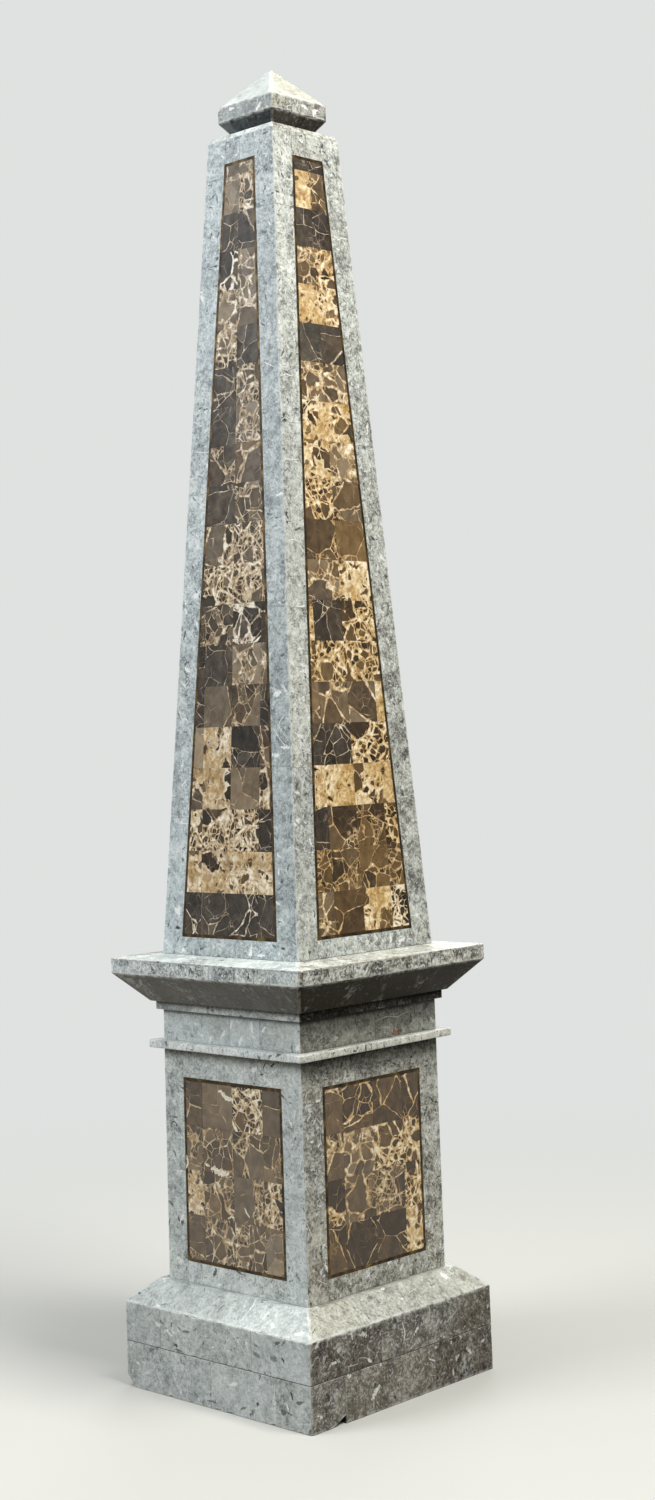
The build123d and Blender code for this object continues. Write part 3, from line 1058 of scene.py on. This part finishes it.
# the soffit's extra warmth and low contrast make its painted shade read plain and brown
face_course(
    "cornice_soffit_stones", 51, soffit_course, ("joint", "arris"), SHADED_SOFFIT_STONES, "cornice_soffit",
    warmer=0.4, busy=0.4,
)
face_course(
    "cornice_band_stones", 52, band_course, ("arris", "joint"), BAND_STONES, "cornice_band", busy=1.6
)
face_course("cornice_top_stones", 53, top_course, BUTTED, TOP_STONES, "cornice_top", thickness=1.2)

# ---- closing slab and cap ------------------------------------------------------------------
# A thin slab closes the shaft, and a cap sits on it: an undercut soffit painted dark as painted
# shade, an upright band with rounded corners, and a low pyramid, each faced in honed limestone.

soffit_cap_low, soffit_cap_high = box_mm("cap_soffit")
band_cap_low, band_cap_high = box_mm("cap_band")
pyramid_low, pyramid_high = box_mm("cap_pyramid")
CAP_FOOT_HALF = 26.5
CAP_CORNER = 5.0
TIP_HALF, TIP_CORNER = 1.5, 1.0
SLAB_TOP_HALF = 42.7
SLAB_STONES = {"front": (0.04, (-14,)), "right": (0.0, (10,))}
# the cap soffit's low tone is painted shade, for the shadow under the cap's band
CAP_SOFFIT_STONES = {"front": (-0.4, (-20, 2)), "right": (-0.4, (-12, 0))}
CAP_BAND_STONES = {"front": (-0.08, (-20, 2)), "right": (-0.08, (-12, 0))}
PYRAMID_STONES = {"front": (0.0, ()), "right": (0.03, ())}

slab_course = Course(
    (slab_high.x, slab_low.z, WORN_CORNER),
    (SLAB_TOP_HALF, slab_high.z, WORN_CORNER),
    (CAP_FOOT_HALF - 2 * TUCK, slab_high.z, HIDDEN_CORNER),
)
cap_soffit_course = Course(
    (CAP_FOOT_HALF, soffit_cap_low.z, CAP_CORNER), (band_cap_high.x, soffit_cap_high.z, CAP_CORNER)
)
cap_band_course = upright(band_cap_high.x, band_cap_low.z, band_cap_high.z, CAP_CORNER)
pyramid_course = Course((band_cap_high.x, pyramid_low.z, CAP_CORNER), (TIP_HALF, pyramid_high.z, TIP_CORNER))
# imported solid, course, lips at its foot and top, stones, and how busy the stone is
CAP_PIECES = (
    ("closing_slab", slab_course, BUTTED, SLAB_STONES, 0.8),
    ("cap_soffit", cap_soffit_course, ("joint", "arris"), CAP_SOFFIT_STONES, 0.25),
    ("cap_band", cap_band_course, ("arris", "arris"), CAP_BAND_STONES, 0.8),
    ("cap_pyramid", pyramid_course, ("arris", "joint"), PYRAMID_STONES, 0.35),
)
for seed, (node, course, lips, stones, busy) in enumerate(CAP_PIECES, 61):
    face_course(f"{node}_stones", seed, course, lips, stones, node, thickness=1.2, busy=busy)

# ---- veins, shells and stains --------------------------------------------------------------
# What shows most in the stones of the front and of the right side: veins and hairs of white
# calcite, whole shells cut through, pockets of dark mud, and an iron stain, flush with the face.

PROUD = 0.04  # how far a flush mineral stands over the face
ROOTED = 0.3  # and how deep it goes
STREAK_STEP = 1.5


def flush_mineral(name, dark, middle, pale, roughness):
    """A mineral polished flush with the stone around it: cloudy, with a grain of 1 mm."""
    material, tree = new_material(name)
    grain = noise(stone_place(tree), 1.6, 3.0)
    colour = ramp(grain, (0.36, dark), (0.5, middle), (0.62, pale))
    return surfaced(material, {"Base Color": colour, "Roughness": roughness})


calcite = flush_mineral("white_calcite", "#b4b9b6", "#dce0dc", "#f1f3ee", 0.35)
mud = flush_mineral("dark_mudstone", "#23231f", "#34342f", "#4d4d46", 0.6)
cream_calcite = flush_mineral("cream_calcite", "#c9bda2", "#ece3cd", "#fbf6e8", 0.25)
iron_stain = flush_mineral("iron_stained_stone", "#6e3f36", "#8d564b", "#a9897d", 0.5)


def streak(features, course, side, path, widest):
    """One vein or shell along a path of (across, height), thinning to its ends."""
    points = [Vector((across, course.up_at(height))) for across, height in path]
    middle = []
    for start, end in zip(points, points[1:]):
        steps = max(2, round((end - start).length / STREAK_STEP))
        middle += [start.lerp(end, step / steps) for step in range(steps)]
    middle.append(points[-1])
    left, right = [], []
    for k, point in enumerate(middle):
        along = (middle[min(k + 1, len(middle) - 1)] - middle[max(k - 1, 0)]).normalized()
        half = widest / 2 * math.sin(math.pi * (k + 0.5) / len(middle)) ** 0.5
        off = Vector((-along.y, along.x))
        point = point + off * features.draw.uniform(-0.2, 0.2) * widest
        left.append(point + off * half * features.draw.uniform(0.6, 1.1))
        right.append(point - off * half * features.draw.uniform(0.6, 1.1))
    count = len(middle)
    rim = right + left[::-1]
    flat = [Vector((*point, -PROUD)) for point in rim] + [Vector((*point, ROOTED)) for point in rim]
    faces = [[k, k + 1, 2 * count - 2 - k, 2 * count - 1 - k] for k in range(count - 1)]
    for k in range(2 * count):
        after = (k + 1) % (2 * count)
        faces.append([after, k, 2 * count + k, 2 * count + after])
    features.fold_in(course, side, flat, faces, [0.0] * len(flat), PLAIN, 0)


shaft_course, dado_course = BLOCKS["shaft"], BLOCKS["dado"]
# veins, hairs and shells, by course and side: the widest place, and the path from end to end
CALCITE = {
    (upper_course, "front"): (
        (5.0, (-76, 58), (-70, 60)),
        (2.6, (-66, 53), (-60, 56), (-55, 52)),
        (2.2, (-57, 58), (-51, 55)),
        (1.0, (18, 71), (27, 64), (36, 57), (44, 45)),
        (2.0, (40, 63), (43, 57)),
    ),
    (lower_course, "front"): (
        (2.2, (-50, 12), (-45, 8), (-43, 4)),
        (2.6, (-103, 22), (-99, 20)),
        (1.2, (75, 33), (73, 20), (76, 9)),
        (2.2, (88, 21), (91, 15)),
    ),
    (upper_course, "right"): (
        (1.6, (-3, 66), (0, 57), (-2, 48)),
        (3.0, (-92, 52), (-86, 51)),
        (3.2, (-48, 46), (-43, 42)),
    ),
    (lower_course, "right"): (
        (3.4, (-74, 38), (-69, 36)),
        (4.6, (-45, 11), (-39, 17), (-34, 21)),
        (1.6, (30, 28), (38, 24)),
    ),
    (bevel_course, "front"): (
        (1.4, (30, 76), (33, 84), (31, 89)),
        (1.8, (52, 78), (56, 86)),
    ),
    (frieze_course, "front"): ((2.4, (-39, 309), (-35, 310)),),
    (frieze_course, "right"): (
        (1.1, (8, 319), (22, 321), (36, 319), (50, 322)),
        (3.4, (-47, 309), (-42, 311)),
    ),
    (shaft_course, "front"): (
        (1.0, (54, 583), (63, 573), (74, 563)),
        (0.8, (60, 586), (68, 577)),
        (0.8, (-66, 600), (-58, 590)),
        (1.2, (36, 920), (43, 917), (51, 913)),
    ),
    (shaft_course, "right"): (
        (1.3, (-66, 751), (-56, 752), (-46, 750)),
        (1.5, (-62, 827), (-52, 826), (-42, 827)),
        (1.4, (-59, 904), (-50, 906), (-40, 905)),
        (1.5, (33, 1046), (39, 1049), (47, 1049)),
        (0.9, (58, 636), (66, 645)),
    ),
}
MUD = {
    (lower_course, "front"): ((2.4, (94, 31), (96, 25)),),
    (upper_course, "front"): ((2.0, (84, 57), (87, 53)),),
    (lower_course, "right"): ((3.6, (-99, 30), (-96, 23)),),
    (dado_course, "front"): (
        (1.2, (-82, 224), (-81, 228), (-78, 230), (-75, 229), (-74, 226)),
        (1.5, (-79, 205), (-76, 199)),
    ),
    (shaft_course, "front"): (
        (1.1, (-66, 652), (-63, 649), (-63, 645), (-66, 642)),
        (1.1, (-66, 642), (-66, 639), (-63, 636), (-60, 635)),
        (1.0, (-63, 634), (-59, 632), (-58, 629), (-60, 626), (-62, 624)),
    ),
    (shaft_course, "right"): ((2.2, (60, 603), (63, 600)),),
}
STAINS = {(frieze_course, "right"): ((4.0, (28, 305), (34, 306), (40, 305)),)}
# the pure white calcite in a few of the marble tiles
WHITE_FIELDS = {
    (dado_course, "front"): (
        (6.6, (-29, 194.5), (-24, 192.6), (-14, 191.6), (-6, 190.8)),
        (3.0, (-37, 197.6), (-34, 195.8), (-31, 196)),
        (2.6, (-61.5, 202), (-60, 196), (-62, 190)),
        (5.4, (-17, 263), (-12, 261), (-9, 257.6), (-3, 256.8), (1, 254)),
        (2.0, (-9, 152.6), (-4, 155), (0, 154.4)),
        (1.7, (13, 165), (15, 161), (19, 157)),
    ),
}
FLUSH_PIECES = (
    ("calcite_veins", calcite, CALCITE, "honed_stone"),
    ("calcite_fields", cream_calcite, WHITE_FIELDS, "polished_marble"),
    ("mud_pockets", mud, MUD, "honed_stone"),
    ("iron_stains", iron_stain, STAINS, "honed_stone"),
)
for seed, (name, finish, streaks, slot) in enumerate(FLUSH_PIECES, 71):
    features = Facing(seed)
    for (course, side), found in streaks.items():
        for widest, *path in found:
            streak(features, course, side, path, widest)
    features.build(name, [finish], [])

# ---- timber cores --------------------------------------------------------------------------
# Under the facings the plinth, dado and shaft are hollow-built timber blocks, seen only from
# below and where the stone is broken away.


def sawn_softwood():
    """Softwood, sawn and bare: dull pale brown with growth rings about 3 mm apart."""
    material, tree = new_material("sawn_softwood")
    wave = {"Vector": object_place(tree), "Scale": 1 / (3 * TO_METRES) / 20, "Distortion": 5.0, "Detail": 3.0}
    rings = add(tree, "TexWave", wave, wave_type="RINGS", rings_direction="Z").outputs[1]
    colour = ramp(rings, (0.2, "#6f5437"), (0.8, "#a88860"))
    return surfaced(material, {"Base Color": colour, "Roughness": 0.75, "Normal": bump(0.3, 0.2, rings)})


refinish(("plinth_core", "dado_core", "shaft_core"), sawn_softwood())

# ---- floor and light -----------------------------------------------------------------------
# The obelisk stands on a plain pale floor that runs out into a pale surround.

BACKGROUND = linear("#dfe2e0")
FLOOR_RADIUS = 9.0
FADE_FROM, FADE_TO = 0.35, 1.5  # metres from the middle of the floor
WALLS, CEILING = 0.16, 0.62  # how bright the studio round it is


def pale_floor():
    """A painted floor, matt: pale where it is seen, and fading into the surround further out."""
    material, tree = new_material("pale_floor")
    rays = add(tree, "LightPath").outputs
    seen = reckon("MAXIMUM", rays["Is Camera Ray"], rays["Is Glossy Ray"])
    seen = reckon("MAXIMUM", seen, rays["Is Transmission Ray"])
    near = add(tree, "BsdfDiffuse", {"Color": linear("#b9b9b4")}).outputs[0]
    far = add(tree, "Emission", {"Color": BACKGROUND, "Strength": 1.0}).outputs[0]
    fade = {"Value": vector("LENGTH", object_place(tree)), "From Min": FADE_FROM, "From Max": FADE_TO}
    fade = add(tree, "MapRange", fade, interpolation_type="SMOOTHSTEP").outputs[0]
    shown = add(tree, "MixShader", {0: fade, 1: near, 2: far}).outputs[0]
    bounced = add(tree, "BsdfDiffuse", {"Color": linear("#5b5448")}).outputs[0]
    return surfaced(material, add(tree, "MixShader", {0: seen, 1: bounced, 2: shown}).outputs[0])


floor_mesh = bpy.data.meshes.new("floor")
work = bmesh.new()
bmesh.ops.create_circle(work, cap_ends=True, radius=FLOOR_RADIUS, segments=96)
work.to_mesh(floor_mesh)
work.free()
floor_mesh.materials.append(pale_floor())
put_in("floor", floor_mesh)

world = bpy.data.worlds.new("surround")
bpy.context.scene.world = world
world.use_nodes = True
room = world.node_tree
room.nodes.clear()
# the studio's pale ceiling lights more than its walls
upward = add(room, "SeparateXYZ", {0: add(room, "TexCoord").outputs["Generated"]}).outputs[2]
ceiling = between(upward, 0.0, 0.8, WALLS, CEILING)
room_rays = add(room, "LightPath").outputs
room_seen = reckon("MAXIMUM", room_rays["Is Camera Ray"], room_rays["Is Transmission Ray"])
room_light = add(room, "Background", {"Color": linear("#eef1f4"), "Strength": ceiling}).outputs[0]
room_shown = add(room, "Background", {"Color": BACKGROUND, "Strength": 1.0}).outputs[0]
room_light = add(room, "MixShader", {0: room_seen, 1: room_light, 2: room_shown}).outputs[0]
room.links.new(room_light, add(room, "OutputWorld").inputs[0])

# softboxes: place and aim in metres, side in metres, watts and colour
SOFTBOXES = {
    "key": ((-1.1, -2.3, 1.9), (0.0, 0.0, 0.75), 1.4, 57.0, "#f8fbff"),
    "fill": ((1.35, 0.05, 2.75), (0.0, 0.0, 0.9), 1.0, 86.0, "#fffcf6"),
    "top": ((-0.4, -0.6, 3.2), (0.0, 0.0, 0.4), 1.2, 16.0, "#ffffff"),
    "back": ((-1.6, 2.3, 1.8), (0.0, 0.0, 0.7), 1.3, 26.0, "#ffffff"),
}
for name, (place, aim, width, watts, colour) in SOFTBOXES.items():
    lamp = bpy.data.lights.new(name, "AREA")
    lamp.shape = "SQUARE"
    lamp.size = width
    lamp.energy = watts
    lamp.color = linear(colour)[:3]
    box = put_in(name, lamp)
    box.location = place
    box.rotation_mode = "QUATERNION"
    box.rotation_quaternion = (Vector(aim) - Vector(place)).to_track_quat("-Z", "Y")

# ---- camera --------------------------------------------------------------------------------
# It stands off the corner between the front and the right side, a little below mid height,
# and looks slightly up.

CAMERA_PLACE = (1.42517, -1.41730, 0.57654)
AZIMUTH = math.radians(43.11)
TILT = math.radians(7.16)
ROLL = math.radians(2.02)
LENS = 50.965
SENSOR = 36.0
SHIFT = (-0.0205, -0.19)

look = Vector((-math.sin(AZIMUTH) * math.cos(TILT), math.cos(AZIMUTH) * math.cos(TILT), math.sin(TILT)))
level = Vector((math.cos(AZIMUTH), math.sin(AZIMUTH), 0))
lift = level.cross(look)
right_axis = level * math.cos(ROLL) - lift * math.sin(ROLL)
up_axis = lift * math.cos(ROLL) + level * math.sin(ROLL)
turned = Matrix((right_axis, up_axis, -look)).transposed().to_4x4()

camera_data = bpy.data.cameras.new("camera")
camera_data.sensor_width = SENSOR
camera_data.lens = LENS
camera_data.shift_x, camera_data.shift_y = SHIFT
camera = put_in("camera", camera_data)
camera.matrix_world = Matrix.Translation(CAMERA_PLACE) @ turned
bpy.context.scene.camera = camera
bpy.context.scene.view_settings.view_transform = "Standard"
